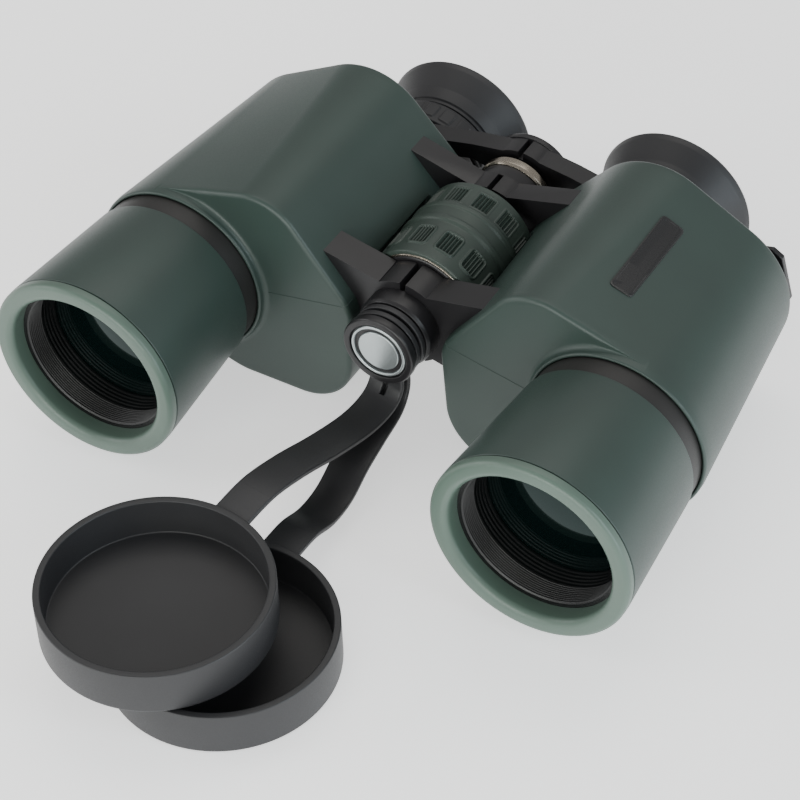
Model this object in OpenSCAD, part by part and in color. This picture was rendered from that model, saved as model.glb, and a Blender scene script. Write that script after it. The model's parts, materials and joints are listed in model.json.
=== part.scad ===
// Porro prism binoculars. They stand on the undersides of the two prism housings, and the
// two objective caps lie in front of them on their rubber straps.
// +X is the user's left, +Y runs from the objectives to the eyepieces and +Z is up.
// Stations along Y are counted from the front plane of the objective rims.

/* [Objective barrels] */
// Distance from the hinge plane to each objective axis
objective_x = 64.7; // [62:0.1:74]
// Clear radius of the objective lens
aperture_r = 21; // [16:0.1:21.5]
// Outer radius of the front rim
rim_r = 27.25; // [26:0.05:30]
// Radius of the mouth inside the rim
mouth_r = 22.1; // [21.8:0.05:22.8]
// Depth of the rim, up to its parting line
rim_len = 3; // [2.5:0.1:5]
// Outer radius of the rubber barrel at its rear end
barrel_rear_r = 24.6; // [24:0.1:26]
// Station of the rear end of the rubber barrel
barrel_len = 39.8; // [32:0.1:48]
// Outer radius of the metal tube inside the rubber
core_r = 23; // [22.8:0.05:23.4]
// Wall of the metal tube
core_wall = 1.6; // [1:0.1:1.8]
// Length of the black band between barrel and housing
band_len = 8.2; // [6:0.1:12]
// How far the band stands proud of the metal tube
band_proud = 0.85; // [0.4:0.05:1]
// Station of the objective lens's front rim
lens_y = 17; // [15:0.1:20]
// Edge thickness of the objective lens
lens_edge = 5; // [4:0.1:8]
// Number of light-trap ridges in the front liner
ridges = 5; // [3:1:8]

/* [Prism housings] */
// Length of a housing from front wall to rear edge
housing_len = 63; // [60:0.5:80]
// Outer radius around the objective axis
shoulder_r = 25; // [24.5:0.1:27]
// Length of the lip that reaches forward round the band
lip_len = 2.5; // [1:0.1:4]
// Radius of the side that faces the hinge
nose_r = 10.5; // [8:0.1:12]
// Radius of the lower inner corner
keel_r = 16.2; // [14:0.1:17]
// Radius of the underside
belly_r = 18.5; // [17:0.1:20]
// Radius of the top
crown_r = 15.2; // [14:0.1:17]
// Distance from the point between the two prisms in to the middle of the top
crown_shift = 3.77; // [2:0.01:6]
// Height of the top above the point between the two prisms
crown_rise = 20.78; // [18:0.01:24]
// Angle at which the outer side leans in towards the rear
side_lean = 6.5; // [0:0.5:7]
// Thickness of the rubber armour
armour_t = 1.2; // [0.8:0.1:1.6]
// Wall of the housing shell under the armour
shell_t = 1.8; // [1.4:0.1:2.2]
// Thickness of the rear cover plate
cover_t = 2; // [1.5:0.1:3]
// Length of the bars for the neck strap
lug_w = 18; // [14:0.5:22]
// Room for the neck strap under its bar
strap_room = 1.9; // [1.5:0.1:2.2]
// How far the bars stay inside the housings' outline
lug_in = 2.1; // [0:0.1:3]
// Length of the blank plate on the left housing
badge_len = 30; // [20:1:36]
// Width of the blank plate
badge_w = 6.2; // [5:0.1:8]

/* [Prisms] */
// Width of a prism across its roof
prism_w = 20; // [16:0.5:21]
// Thickness of the plate that carries both prisms
plate_t = 3; // [2:0.1:4]
// Distance from the housing front to the middle of the prism plate
plate_back = 28; // [27.9:0.1:29]
// Gap between a prism and the wall or cover it faces
prism_gap = 0.5; // [0.2:0.1:1]

/* [Hinge] */
// Height of the hinge axis above the objective axes
hinge_rise = 4.1; // [2:0.1:6]
// Outer radius of the front lugs
lug_r = 12.8; // [12:0.1:14]
// Outer radius of the rear lugs
rear_lug_r = 11.4; // [11:0.1:12.6]
// Radius of the knuckles that turn inside the lugs
knuckle_r = 9; // [8:0.1:9.6]
// Radius of the hinge axle
axle_r = 5; // [4.5:0.1:6]
// Length of the front lugs
front_lug_len = 9; // [7:0.1:12]
// Length of the rear lugs
rear_lug_len = 6.8; // [6:0.1:9]
// Distance from the housing front to the front lugs
lug_back = 4.6; // [4:0.1:7]
// Radius of the black disc at the front of the hinge
front_cap_r = 10.3; // [9.8:0.1:11]
// Thickness of the black disc
front_cap_len = 2.4; // [2:0.1:4]
// Outer radius of the bright ring in the disc
emblem_ring_r = 7.9; // [6:0.1:9]

/* [Focusing] */
// Radius of the focusing wheel over its rubber
wheel_r = 16.4; // [15.5:0.1:18]
// Length of the focusing wheel
wheel_len = 31.8; // [26:0.1:34]
// Distance from the wheel's front to its middle band
wheel_band_back = 15.5; // [10:0.1:18]
// Length of the wheel's middle band
wheel_band_len = 5.8; // [3:0.1:8]
// Outer radius of the wheel's core
wheel_core_r = 14.4; // [13:0.1:14.8]
// Radius of the focusing screw
screw_r = 3.2; // [2.5:0.1:3.6]
// Thickness of the bridge along the axis
bridge_len = 6; // [5:0.1:8]
// Outer radius of the bridge hub
bridge_r = 11.4; // [11:0.1:13]
// Height of a bridge arm
bridge_arm_t = 5; // [4:0.1:7]
// Free travel left in front of the bridge
bridge_gap = 1.6; // [1.3:0.1:3]

/* [Eyepieces] */
// Distance from the hinge plane to each eyepiece axis
eyepiece_x = 33.85; // [32:0.05:36]
// Distance from the objective axes down to the eyepiece axes
eyepiece_drop = 8; // [6:0.1:9]
// Outer radius of the sliding eyepiece tube
eye_tube_r = 15; // [13:0.1:15.4]
// Wall of the eyepiece tube
eye_tube_wall = 1.4; // [1:0.1:2]
// Radius of the diopter ring
diopter_r = 18.4; // [17.9:0.1:19.5]
// Length of the diopter ring
diopter_len = 7.6; // [6:0.1:9]
// Radius of the eyecup at its front edge
eyecup_front_r = 17.4; // [16.8:0.1:18]
// Radius of the eyecup at its rear rim
eyecup_rim_r = 22.6; // [19:0.1:23]
// Length of the eyecup
eyecup_len = 12.2; // [10:0.1:15]
// Wall of the eyecup
eyecup_wall = 1.8; // [1.4:0.1:2.4]

/* [Objective caps] */
// Free radius left between a cap and the rim it covers
cap_gap = 0.15; // [0.05:0.05:0.5]
// Wall of a cap
cap_wall = 1.9; // [1.4:0.1:2.6]
// Height of a cap
cap_h = 13; // [10:0.1:15]
// Width of a cap strap
strap_w = 10.4; // [8:0.1:12]
// Thickness of a cap strap
strap_t = 1.6; // [1.2:0.1:1.7]
// Width of the strap loops along the hinge
loop_len = 1.7; // [1.2:0.1:2]

/* [Fits] */
// Radial clearance of a running fit
run = 0.05; // [0.02:0.01:0.1]
// Gap between pieces that pass each other
pass = 0.3; // [0.2:0.05:0.5]
// Width of the parting line between rim and barrel
parting = 0.1; // [0.05:0.05:0.3]
// Free radius round the focusing wheel where it sinks into the housings
wheel_room = 0.8; // [0.5:0.1:1.5]

/* [Hidden] */
$fn = 96;
rubber_green = [0.19, 0.27, 0.25];
rim_green = [0.30, 0.38, 0.33];
black = [0.09, 0.09, 0.10];
plastic = [0.14, 0.14, 0.15];
metal = [0.55, 0.56, 0.58];
glass = [0.35, 0.60, 0.55];

// Porro prisms: the two shifts are equal and at right angles, and add up to the offset between axes.
offset_x = eyepiece_x - objective_x;
offset_z = -eyepiece_drop;
shift = norm([offset_x, offset_z]) / sqrt(2);
offset_angle = atan2(offset_z, offset_x);
rear_prism_angle = offset_angle - 45;
front_prism_angle = offset_angle + 45;
relay_x = objective_x + shift * cos(rear_prism_angle);
relay_z = shift * sin(rear_prism_angle);
window_r = min(prism_w, shift) / 2 - 0.6;

// Circles round the housing's cross-section, counter-clockwise, as [x, z, radius].
keel_z = -14.8;
belly_z = -12.5;
housing_circles = [
    [13.3 + nose_r, 1.5, nose_r],
    [14.3 + keel_r, keel_z, keel_r],
    [46.5, belly_z, belly_r],
    [objective_x, 0, shoulder_r],
    [relay_x - crown_shift, relay_z + crown_rise - crown_r, crown_r],
];
axis_h = max(keel_r - keel_z, belly_r - belly_z);
hinge_h = axis_h + hinge_rise;
eye_h = axis_h - eyepiece_drop;

// Stations along the objective barrel
housing_y = barrel_len + band_len;
lip_y = housing_y - lip_len;
lens_seat_r = core_r - core_wall;
lens_r = aperture_r + 0.3;
spigot_r = min(shoulder_r - armour_t - shell_t, core_r) - 1;
rim_seat_y = rim_len + 2.5;
mouth_len = 2.5;
liner_y = rim_seat_y + 0.1;
liner_len = (lens_y - rim_seat_y) / 2;

// Stations along the housing. It is never too short for its two prisms.
shell_y = housing_y + armour_t;
wall_y = shell_y + 2.2;
plate_y = max(housing_y + plate_back, wall_y + prism_gap + shift + plate_t / 2);
rear_prism_end = plate_y + plate_t / 2 + shift;
housing_end = max(housing_y + housing_len, rear_prism_end + prism_gap + cover_t + armour_t);
shell_end = housing_end - armour_t;
cover_y = shell_end - cover_t;
side_x = objective_x + shoulder_r;

// Stations along the hinge
front_lug_y = housing_y + lug_back;
front_lug_end = front_lug_y + front_lug_len;
wheel_y = front_lug_end + pass;
wheel_end = wheel_y + wheel_len;
rear_lug_y = wheel_end + 4.3;
rear_lug_end = rear_lug_y + rear_lug_len;
sleeve_end = rear_lug_end + 5.2;
ring_end = sleeve_end + 3.4;
collar_end = housing_end + 2.6;
bridge_y = max(ring_end, collar_end) + bridge_gap;
bridge_end = bridge_y + bridge_len;
loop_r = 10;
loop_seat_r = loop_r - 1.3;
collar_len = lug_back + 6.2;
barrel_front_y = front_lug_y - collar_len;
disc_y = barrel_front_y - front_cap_len;
right_loop_y = barrel_front_y + loop_len + 2 * pass;
left_loop_y = right_loop_y + loop_len + 3 * pass;
lug_gap = 4;
lug_bottom = -62;

// Stations along the eyepieces
eye_tube_y = rear_prism_end + 1;
eye_collar_wall = 1.9;
diopter_play = 1.2;
diopter_y = bridge_end + 0.8;
eyecup_y = diopter_y + diopter_len + diopter_play;
eyecup_end = eyecup_y + eyecup_len;
eye_barrel_r = eye_tube_r - eye_tube_wall - run;

// Caps and straps: each strap runs from the hinge along a line turned a little from -Y.
cap_in_r = rim_r + cap_gap;
cap_r = cap_in_r + cap_wall;
right_yaw = -6.4;
left_yaw = 2.2;
right_reach = 91.9;
left_reach = 87.8;
cap_stack = cap_h + pass;
// Side view of each strap from its loop to its cap, as [distance in front of the loop, height].
right_route = [[0, hinge_h - loop_r + 1], [0.3, 20.6], [4.5, 17.2], [13, 16.6], [26, 19.4],
    [40, 23.6], [52, 25.9], [right_reach - cap_r, cap_stack + cap_h - 1.2]];
left_route = [[0, hinge_h - loop_r + 1], [0.2, 19.2], [4.6, 14.2], [14, 12.2], [23, 10.2],
    [32, 6.9], [41, 7.2], [50, 10.6], [left_reach - cap_r, cap_h - 1.2]];

front_end = -(right_reach * cos(right_yaw) + cap_r - right_loop_y);
mid_y = (front_end + eyecup_end) / 2;

// Placing helpers
module place() translate([0, -mid_y, 0]) children();
module left() children();
module right() mirror([1, 0, 0]) children();
module at_objective() translate([objective_x, 0, axis_h]) children();
module at_eyepiece() translate([eyepiece_x, 0, eye_h]) children();
module at_hinge() translate([0, 0, hinge_h]) children();
module turned() rotate([-90, 0, 0]) rotate_extrude() children();
module slab(y0, y1) translate([0, y1, 0]) rotate([90, 0, 0]) linear_extrude(y1 - y0) children();
module rod(r, y0, y1) translate([0, y0, 0]) rotate([-90, 0, 0]) cylinder(r = r, h = y1 - y0);
module ring(r_out, r_in, y0, y1) {
    difference() {
        rod(r_out, y0, y1);
        rod(r_in, y0 - 1, y1 + 1);
    }
}

// Tangent points of two neighbouring outline circles, both shrunk by the inset
function tangent(a, b, inset) = let(
    d = [b[0] - a[0], b[1] - a[1]],
    turn = atan2(d[1], d[0]) - acos((a[2] - b[2]) / norm(d)),
    n = [cos(turn), sin(turn)]
) [[a[0], a[1]] + (a[2] - inset) * n, [b[0], b[1]] + (b[2] - inset) * n];

// Cross-section of a housing, inside its outer surface by the inset
module outline(inset) {
    c = housing_circles;
    polygon([for (i = [0:len(c) - 1]) each tangent(c[i], c[(i + 1) % len(c)], inset)]);
    for (k = c) translate([k[0], k[1]]) circle(r = k[2] - inset);
}

// Turns a piece inwards about the outer front edge of the housing
module leaned()
    translate([side_x, housing_y, 0]) rotate([0, 0, side_lean]) translate([-side_x, -housing_y, 0])
        children();

module wheel_pocket(inset)
    at_hinge() rod(wheel_r + wheel_room + inset, wheel_y - 1.2 - inset, wheel_end + 1.2 + inset);

// A housing is what two equal outlines share, one straight and one leaned, less room for the wheel.
module housing_solid(inset, y0, y1) {
    difference() {
        intersection() {
            translate([0, 0, axis_h]) slab(y0, y1) outline(inset);
            leaned() translate([0, 0, axis_h]) slab(y0 - 20, y1 + 20) outline(inset);
        }
        wheel_pocket(inset);
    }
}

// Objective barrel
module rim() {
    lip = (rim_r - mouth_r - 0.7) / 2;
    color(rim_green) at_objective() turned() {
        translate([rim_r - lip, lip]) intersection() {
            circle(r = lip);
            translate([-lip, -lip]) square([2 * lip, lip]);
        }
        polygon([[rim_r - 2 * lip, lip], [rim_r, lip], [rim_r, rim_len], [core_r, rim_len],
            [core_r, rim_seat_y], [mouth_r, rim_seat_y], [mouth_r, rim_seat_y - mouth_len]]);
    }
}
module barrel() {
    color(rubber_green) at_objective() turned()
        polygon([[core_r, rim_len + parting], [rim_r, rim_len + parting], [barrel_rear_r, barrel_len],
            [core_r, barrel_len]]);
}
module core_tube() {
    color(black) at_objective() difference() {
        union() {
            rod(core_r, rim_seat_y, housing_y);
            rod(spigot_r, housing_y, wall_y);
        }
        rod(lens_seat_r, rim_seat_y - 1, lens_y + lens_edge + 3);
        rod(spigot_r - 1.5, lens_y, wall_y + 1);
    }
}
module band() color(black) at_objective() ring(core_r + band_proud, core_r, barrel_len, lip_y);
module liner() {
    pitch = liner_len / ridges;
    color(black) at_objective() turned() for (i = [0:ridges - 1])
        translate([0, liner_y + i * pitch])
            polygon([[lens_seat_r, 0], [lens_seat_r - 0.9, pitch / 2], [lens_seat_r - 0.45, pitch],
                [lens_seat_r, pitch]]);
}
module lens_ring() {
    y0 = liner_y + liner_len;
    color(black) at_objective() turned()
        polygon([[lens_seat_r, y0], [lens_seat_r - 0.6, y0], [aperture_r - 0.9, lens_y - 0.4],
            [lens_seat_r, lens_y]]);
}
// Half profile of a lens: a front and a rear arc of the given sags, joined at the edge
function arc(r, sag, n) = let(big = (r * r + sag * sag) / (2 * sag))
    [for (i = [0:n]) let(x = r * i / n) [x, sag - big + sqrt(big * big - x * x)]];
module lens(r, y0, y1, front_sag, rear_sag) {
    front = arc(r, front_sag, 8);
    rear = arc(r, rear_sag, 8);
    color(glass) turned() polygon(concat([for (p = front) [p[0], y0 - p[1]]],
        [for (i = [len(rear) - 1:-1:0]) [rear[i][0], y1 + rear[i][1]]]));
}
module objective() at_objective() lens(lens_seat_r - run, lens_y, lens_y + lens_edge, 2.4, 1.6);

// Prism housing
module armour() {
    color(rubber_green) difference() {
        union() {
            housing_solid(0, housing_y, housing_end);
            at_objective() rod(shoulder_r, lip_y, housing_y + 0.5);
        }
        housing_solid(armour_t, shell_y, shell_end);
        at_objective() rod(core_r + band_proud, lip_y - 1, shell_y + 1);
        housing_solid(armour_t + shell_t, cover_y, housing_end + 30);
        at_objective() rod(spigot_r, housing_y, shell_y + 1);
    }
}
module housing() {
    inner = armour_t + shell_t;
    color(plastic) difference() {
        housing_solid(armour_t, shell_y, shell_end);
        housing_solid(inner, wall_y, shell_end + 1);
        at_objective() rod(spigot_r, shell_y - 1, wall_y + 1);
    }
}
module prism_plate() {
    color(metal) difference() {
        housing_solid(armour_t + shell_t, plate_y - plate_t / 2, plate_y + plate_t / 2);
        for (p = [[objective_x, 0], [relay_x, relay_z], [eyepiece_x, offset_z]])
            translate([p[0], 0, axis_h + p[1]])
                rod(window_r, plate_y - plate_t, plate_y + plate_t);
    }
}
// A right-angle prism with its long face on the plane y = 0, its ends and roof edge flattened
module prism(angle) {
    flat = 1;
    rotate([0, -angle, 0]) translate([0, 0, -prism_w / 2]) linear_extrude(prism_w)
        polygon([[-shift, 0], [shift, 0], [shift, flat], [flat, shift], [-flat, shift], [-shift, flat]]);
}
module rear_prism() {
    color(glass) translate([(objective_x + relay_x) / 2, plate_y + plate_t / 2, axis_h + relay_z / 2])
        prism(rear_prism_angle);
}
module front_prism() {
    color(glass)
        translate([(relay_x + eyepiece_x) / 2, plate_y - plate_t / 2, axis_h + (relay_z + offset_z) / 2])
        mirror([0, 1, 0]) prism(front_prism_angle);
}
module rear_cover() {
    color(plastic) difference() {
        union() {
            housing_solid(armour_t + shell_t, cover_y, shell_end);
            at_eyepiece() rod(eye_tube_r + run + eye_collar_wall, eye_tube_y, collar_end);
        }
        at_eyepiece() rod(eye_tube_r + run, eye_tube_y - 1, collar_end + 1);
        screw_places() rod(1.1, cover_y - 1, shell_end + 1);
    }
}
// Four screws round the cover, clear of the eyepiece collar
module screw_places() {
    for (p = [[52, 18], [66, 12], [66, -12], [54, -20]])
        translate([p[0], 0, axis_h + p[1]]) children();
}
module cover_screws() {
    color(metal) screw_places() {
        rod(1.1, cover_y - 4, shell_end);
        rod(2, shell_end, shell_end + 0.9);
    }
}
// Bar for the neck strap, on two feet that stand on the outer edge of the rear cover
module strap_lug() {
    lug_angle = 14;
    half = lug_w / 2;
    cover_r = shoulder_r - armour_t - shell_t;
    foot_end = sqrt(pow(cover_r - pass, 2) - half * half);
    root = foot_end - 3.4;
    bar_end = shoulder_r - lug_in;
    bar_y = housing_end + strap_room;
    color(black) translate([(housing_y - housing_end) * tan(side_lean), 0, 0]) at_objective()
        rotate([0, -lug_angle, 0]) union() {
            slab(bar_y, bar_y + 1.7) difference() {
                translate([root, -half]) square([bar_end - root, lug_w]);
                for (k = [-half, half]) translate([bar_end, k]) rotate(45) square(3.4, center = true);
            }
            for (k = [-half, half - 2.4])
                slab(shell_end, bar_y + 0.5) translate([root, k]) square([foot_end - root, 2.4]);
        }
}
module badge() {
    a = housing_circles[3];
    b = housing_circles[4];
    t = tangent(a, b, 0);
    slope = atan2(t[0][1] - t[1][1], t[0][0] - t[1][0]);
    along = 9;
    color(black) leaned() translate([t[1][0], housing_y + 17, axis_h + t[1][1]]) rotate([0, -slope, 0])
        translate([along, 0, 0]) rotate([0, 0, -side_lean]) cube([badge_w, badge_len, 0.5]);
}

// Hinge
module sector(r_out, r_in, y0, y1, from, to) {
    far = 3 * r_out;
    steps = 4;
    difference() {
        intersection() {
            rod(r_out, y0, y1);
            slab(y0, y1) polygon([[0, 0], for (i = [0:steps]) let(t = from + (to - from) * i / steps)
                far * [cos(t), sin(t)]]);
        }
        rod(r_in, y0 - 1, y1 + 1);
    }
}
// One side's lug: a saddle round the hinge, the knuckle it turns on, and the arm to the housing.
module lug(r, y0, y1, knuckle0, knuckle1, arm, bore) {
    saddle_in = knuckle_r + 0.1;
    difference() {
        union() {
            at_hinge() sector(r, saddle_in, y0, y1, lug_bottom, 90 - lug_gap);
            at_hinge() sector(r, bore, knuckle0, knuckle1, lug_bottom, 90 - lug_gap);
            at_hinge() ring(knuckle_r, bore, knuckle0, knuckle1);
            difference() {
                translate([0, 0, axis_h]) slab(y0, y1) polygon(arm);
                at_hinge() rod(r - 0.5, y0 - 1, y1 + 1);
            }
        }
        housing_solid(0, housing_y, housing_end);
    }
}
front_arm = [[7, 15], [27, 19.3], [30, 8], [22, -9], [8, -5.5]];
rear_arm = [[5, 14.3], [27, 20.2], [30, 8], [22, -6], [8, -3.5]];
front_mid = (front_lug_y + front_lug_end) / 2;
rear_mid = (rear_lug_y + rear_lug_end) / 2;
module front_lug_right()
    color(black) lug(lug_r, front_lug_y, front_lug_end, front_lug_y, front_mid - 0.1, front_arm, axle_r);
module front_lug_left()
    color(black) lug(lug_r, front_lug_y, front_lug_end, front_mid + 0.1, front_lug_end, front_arm,
        axle_r + run);
module rear_lug_right()
    color(black) lug(rear_lug_r, rear_lug_y, rear_lug_end, rear_lug_y, rear_mid - 0.1, rear_arm, axle_r);
module rear_lug_left()
    color(black) lug(rear_lug_r, rear_lug_y, rear_lug_end, rear_mid + 0.1, rear_lug_end, rear_arm,
        axle_r + run);
module hinge_axle() color(metal) at_hinge() ring(axle_r, screw_r + run, barrel_front_y, sleeve_end);
module hinge_collar() {
    color(black) at_hinge() difference() {
        union() {
            rod(loop_seat_r, barrel_front_y, front_lug_y);
            rod(loop_r + 0.6, left_loop_y + pass, front_lug_y - 0.1);
        }
        rod(axle_r, barrel_front_y - 1, front_lug_y + 1);
    }
}
module front_cap() {
    seat = 1;
    color(black) at_hinge() difference() {
        turned() {
            polygon([[0, disc_y], [front_cap_r - 0.8, disc_y], [front_cap_r, disc_y + 0.8],
                [front_cap_r, barrel_front_y], [0, barrel_front_y]]);
        }
        rod(emblem_ring_r, disc_y - 1, disc_y + seat);
    }
}
// Bright ring and disc set in the front cap
module emblem() {
    color(metal) at_hinge() {
        ring(emblem_ring_r, emblem_ring_r - 0.9, disc_y - 0.1, disc_y + 1);
        rod(emblem_ring_r - 2, disc_y - 0.1, disc_y + 1);
    }
}
module rear_sleeve() {
    color(black) at_hinge() turned()
        polygon([[axle_r, rear_lug_end + 0.1], [rear_lug_r - 0.4, rear_lug_end + 0.1],
            [rear_lug_r - 1.2, sleeve_end], [axle_r, sleeve_end]]);
}
module sleeve_ring()
    color(metal) at_hinge() ring(rear_lug_r - 0.6, screw_r + 2 * run, sleeve_end, ring_end);

// Focusing
module wheel_core() color(black) at_hinge() ring(wheel_core_r, axle_r + run, wheel_y + 0.6, wheel_end);
module wheel_grip() {
    y0 = wheel_y + 0.4;
    y1 = wheel_end - 0.3;
    band0 = wheel_y + wheel_band_back;
    band1 = band0 + wheel_band_len;
    color(rubber_green) at_hinge() turned()
        polygon([[wheel_core_r, y0], [wheel_r - 0.6, y0], [wheel_r - 0.4, band0 - 1], [wheel_r, band0],
            [wheel_r, band1], [wheel_r - 0.4, band1 + 1], [wheel_r - 0.6, y1], [wheel_core_r, y1]]);
}
module wheel_flange()
    color(black) at_hinge() ring(wheel_core_r - 0.3, axle_r + run, wheel_y, wheel_y + 0.6);
module focus_screw() {
    color(metal) at_hinge() union() {
        rod(screw_r, wheel_y, bridge_end);
        rod(screw_r - 0.6, wheel_y - 2, wheel_y + 1);
    }
}
module bridge_end_cap() {
    color(black) at_hinge() turned()
        polygon([[0, bridge_end + 0.1], [bridge_r + 0.4, bridge_end + 0.1],
            [bridge_r + 0.4, bridge_end + 1.6], [bridge_r - 1.2, bridge_end + 3.2], [0, bridge_end + 3.2]]);
}
// A bridge arm: half of the hub, a bar, and the ring that holds the eyepiece tube
module bridge_arm(knuckle0, knuckle1, bore) {
    top = [[5, hinge_rise + bridge_r - 1.4], [15, 12.6], [24, 10.6], [eyepiece_x, 9.2]];
    ring_r = eye_tube_r + 2.6;
    color(black) difference() {
        union() {
            at_hinge() sector(bridge_r, knuckle_r + 0.1, bridge_y, bridge_end, -60, 90 - lug_gap);
            at_hinge() sector(bridge_r, bore, knuckle0, knuckle1, -60, 90 - lug_gap);
            at_hinge() ring(knuckle_r, bore, knuckle0, knuckle1);
            difference() {
                translate([0, 0, axis_h]) slab(bridge_y, bridge_end) polygon(concat(top,
                    [for (i = [3:-1:0]) top[i] - [0, bridge_arm_t + (i == 0 ? 4 : 0)]]));
                at_hinge() rod(bridge_r - 0.5, bridge_y - 1, bridge_end + 1);
            }
            at_eyepiece() rod(ring_r, bridge_y, bridge_end);
        }
        at_eyepiece() rod(eye_tube_r, bridge_y - 1, bridge_end + 1);
    }
}
bridge_mid = (bridge_y + bridge_end) / 2;
module bridge_arm_right() bridge_arm(bridge_y, bridge_mid - 0.1, screw_r);
module bridge_arm_left() bridge_arm(bridge_mid + 0.1, bridge_end, screw_r + run);

// Eyepieces
module eye_tube(end) {
    color(black) at_eyepiece() ring(eye_tube_r, eye_barrel_r + run, eye_tube_y + 0.8, end);
}
module diopter_ring() {
    lobes = 24;
    color(black) at_eyepiece() difference() {
        ring(diopter_r, eye_tube_r + run, diopter_y, diopter_y + diopter_len);
        for (i = [0:lobes - 1]) rotate([0, i * 360 / lobes, 0])
            translate([diopter_r - 0.4, diopter_y + 1.2, -0.5]) cube([2, diopter_len - 2.4, 1]);
    }
}
// The left eyepiece has no diopter: its tube and lens barrel are one piece.
module fixed_eye_tube() {
    eye_tube(eyecup_y);
    eye_barrel(eye_tube_y + 8);
}
eye_lens_y = eyecup_y + 1.5;
module eye_barrel(front) {
    flange = eyecup_front_r - eyecup_wall;
    color(black) at_eyepiece() difference() {
        union() {
            rod(eye_barrel_r, front, eye_lens_y + 2);
            rod(flange, eyecup_y, eyecup_y + 3);
        }
        rod(eye_barrel_r - 2, front - 1, eye_lens_y + 0.2);
        rod(eye_barrel_r - 1.2, eye_lens_y, eye_lens_y + 3);
    }
}
module eye_lens() at_eyepiece() lens(eye_barrel_r - 1.2, eye_lens_y + 0.2, eye_lens_y + 1, 0.4, 1.6);
module eyecup() {
    w = eyecup_wall;
    color(black) at_eyepiece() turned()
        polygon([[eyecup_front_r - w, eyecup_y], [eyecup_front_r, eyecup_y],
            [eyecup_front_r + 1.6, eyecup_y + eyecup_len * 0.3],
            [eyecup_rim_r - 0.4, eyecup_end - 2.2], [eyecup_rim_r, eyecup_end - 1],
            [eyecup_rim_r - 0.8, eyecup_end], [eyecup_rim_r - w - 0.6, eyecup_end],
            [eyecup_rim_r - w - 1, eyecup_end - 1.2],
            [eyecup_front_r + 1.4 - w, eyecup_y + eyecup_len * 0.35],
            [eyecup_front_r - w, eyecup_y + 3]]);
}

// Objective caps and their straps
module cap() {
    fillet = 1.6;
    floor_t = 2;
    color(black) rotate_extrude() {
        translate([cap_r - fillet, fillet]) circle(r = fillet);
        polygon([[0, 0], [cap_r - fillet, 0], [cap_r - fillet, fillet], [cap_r, fillet],
            [cap_r, cap_h], [cap_in_r, cap_h], [cap_in_r, floor_t], [0, floor_t]]);
    }
}
function spline(p, i, t) = let(
    a = p[max(i - 1, 0)],
    b = p[i],
    c = p[i + 1],
    d = p[min(i + 2, len(p) - 1)]
) 0.5 * (2 * b + (c - a) * t + (2 * a - 5 * b + 4 * c - d) * t * t + (3 * b - a - 3 * c + d) * t * t * t);
function curve(p, n) = [for (i = [0:len(p) - 2]) for (k = [0:n - 1]) spline(p, i, k / n), p[len(p) - 1]];
function normals(c) = [for (i = [0:len(c) - 1]) let(
    d = c[min(i + 1, len(c) - 1)] - c[max(i - 1, 0)]
) [-d[1], d[0]] / norm(d)];
// Flat strip of the strap: its side view, extruded across its width
module strip(route) {
    c = curve(route, 4);
    n = normals(c);
    h = strap_t / 2;
    last = len(c) - 1;
    translate([-strap_w / 2, 0, 0]) rotate([90, 0, 90]) linear_extrude(strap_w)
        polygon(concat([for (i = [0:last]) [-c[i][0], c[i][1]] + h * [-n[i][0], n[i][1]]],
            [for (i = [last:-1:0]) [-c[i][0], c[i][1]] - h * [-n[i][0], n[i][1]]]));
}
module strap(route, loop_y, yaw, reach) {
    slit = [1.2, 7];
    color(black) difference() {
        union() {
            at_hinge() rod(loop_r, loop_y - loop_len, loop_y);
            translate([0, loop_y - loop_len / 2, 0]) rotate([0, 0, yaw]) difference() {
                strip(route);
                translate([0, -reach, 0]) cylinder(r = cap_r + pass, h = 60);
            }
        }
        at_hinge() rod(loop_seat_r + run, loop_y - loop_len - 1, loop_y + 1);
        translate([-slit[0] / 2, loop_y - 4, hinge_h - loop_r - slit[1] - 1]) cube([slit[0], 8, slit[1]]);
    }
}
module cap_place(loop_y, yaw, reach, lift)
    translate([0, loop_y - loop_len / 2, lift]) rotate([0, 0, yaw]) translate([0, -reach, 0]) children();
module right_cap() cap_place(right_loop_y, right_yaw, right_reach, cap_stack) cap();
module left_cap() cap_place(left_loop_y, left_yaw, left_reach, 0) cap();
module right_strap() strap(right_route, right_loop_y, right_yaw, right_reach);
module left_strap() strap(left_route, left_loop_y, left_yaw, left_reach);

place() right() rim();  // right_rim
place() right() barrel();  // right_barrel
place() right() core_tube();  // right_tube
place() right() band();  // right_band
place() right() liner();  // right_liner
place() right() lens_ring();  // right_lens_ring
place() right() objective();  // right_objective
place() right() armour();  // right_armour
place() right() housing();  // right_housing
place() right() prism_plate();  // right_prism_plate
place() right() rear_prism();  // right_rear_prism
place() right() front_prism();  // right_front_prism
place() right() rear_cover();  // right_rear_cover
place() right() cover_screws();  // right_cover_screws
place() right() front_lug_right();  // right_front_lug
place() right() rear_lug_right();  // right_rear_lug
place() right() strap_lug();  // right_strap_lug
place() left() rim();  // left_rim
place() left() barrel();  // left_barrel
place() left() core_tube();  // left_tube
place() left() band();  // left_band
place() left() liner();  // left_liner
place() left() lens_ring();  // left_lens_ring
place() left() objective();  // left_objective
place() left() armour();  // left_armour
place() left() housing();  // left_housing
place() left() prism_plate();  // left_prism_plate
place() left() rear_prism();  // left_rear_prism
place() left() front_prism();  // left_front_prism
place() left() rear_cover();  // left_rear_cover
place() left() cover_screws();  // left_cover_screws
place() left() front_lug_left();  // left_front_lug
place() left() rear_lug_left();  // left_rear_lug
place() left() strap_lug();  // left_strap_lug
place() left() badge();  // badge_plate
place() hinge_axle();
place() hinge_collar();
place() front_cap();
place() emblem();
place() rear_sleeve();
place() sleeve_ring();
place() wheel_core();
place() wheel_grip();
place() wheel_flange();
place() focus_screw();
place() bridge_end_cap();
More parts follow.
